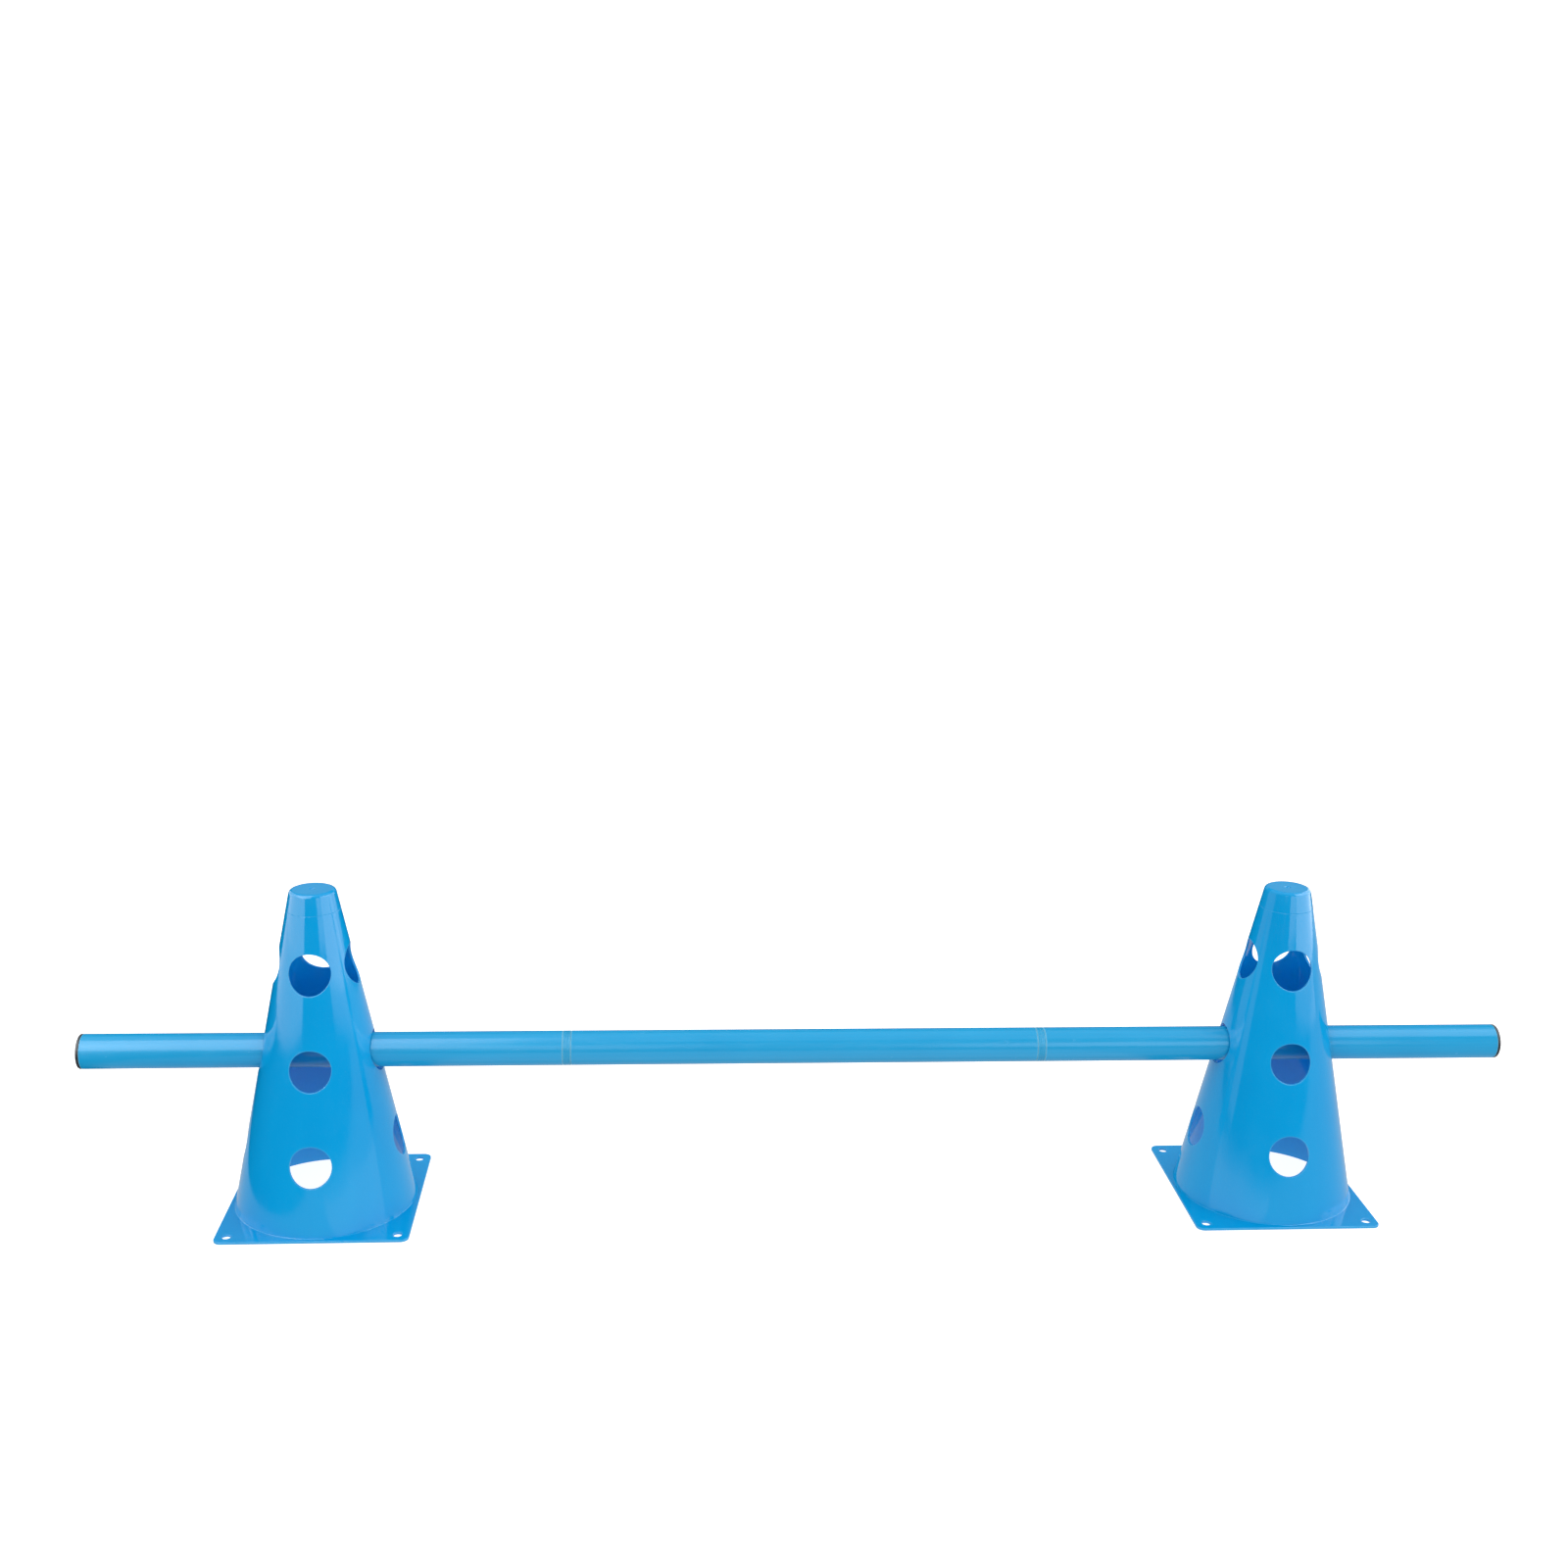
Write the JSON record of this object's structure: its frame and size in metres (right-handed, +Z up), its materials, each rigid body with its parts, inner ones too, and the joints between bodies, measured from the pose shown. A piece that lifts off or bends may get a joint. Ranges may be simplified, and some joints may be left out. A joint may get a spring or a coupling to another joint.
{
  "type": "agility hurdle",
  "caption": "Low agility hurdle: hollow tapered cones with round windows on square bases carry a jump pole in plug-together sections with end caps.",
  "frame": {"origin": "on the floor, under the middle of the pole", "axes": "+X along the pole to the right, +Y to the back, +Z up"},
  "size_m": [1, 0.1306, 0.23],
  "materials": {
    "cone_plastic": "glossy moulded azure blue",
    "pole_plastic": "satin extruded azure blue",
    "collar_plastic": "satin moulded azure blue, slightly duller than the tubes",
    "cap_plastic": "satin black"
  },
  "bodies": {
    "left_stand": {"left_cone": "cone_plastic"},
    "right_stand": {"right_cone": "cone_plastic"},
    "pole_plugs": {"left_connector": "collar_plastic", "right_connector": "collar_plastic"},
    "middle_section": {"pole_middle": "pole_plastic"},
    "left_section": {"pole_left": "pole_plastic", "left_end_cap": "cap_plastic"},
    "right_section": {"pole_right": "pole_plastic", "right_end_cap": "cap_plastic"}
  },
  "joints": [
    {"name": "cone_spacing", "type": "slide", "parent": "left_stand", "child": "right_stand", "axis": [1, 0, 0], "range_m": [-0.54, 0.12]},
    {"name": "pole_slide", "type": "slide", "parent": "left_stand", "child": "pole_plugs", "axis": [1, 0, 0], "range_m": [-0.12, 0.12]},
    {"name": "pole_roll", "type": "hinge", "parent": "pole_plugs", "child": "middle_section", "pos_m": [0, 0, 0.113], "axis": [1, 0, 0], "continuous": true},
    {"name": "left_section_pull", "type": "slide", "parent": "middle_section", "child": "left_section", "axis": [-1, 0, 0], "range_m": [0, 0.035]},
    {"name": "right_section_pull", "type": "slide", "parent": "middle_section", "child": "right_section", "axis": [1, 0, 0], "range_m": [0, 0.035]}
  ]
}
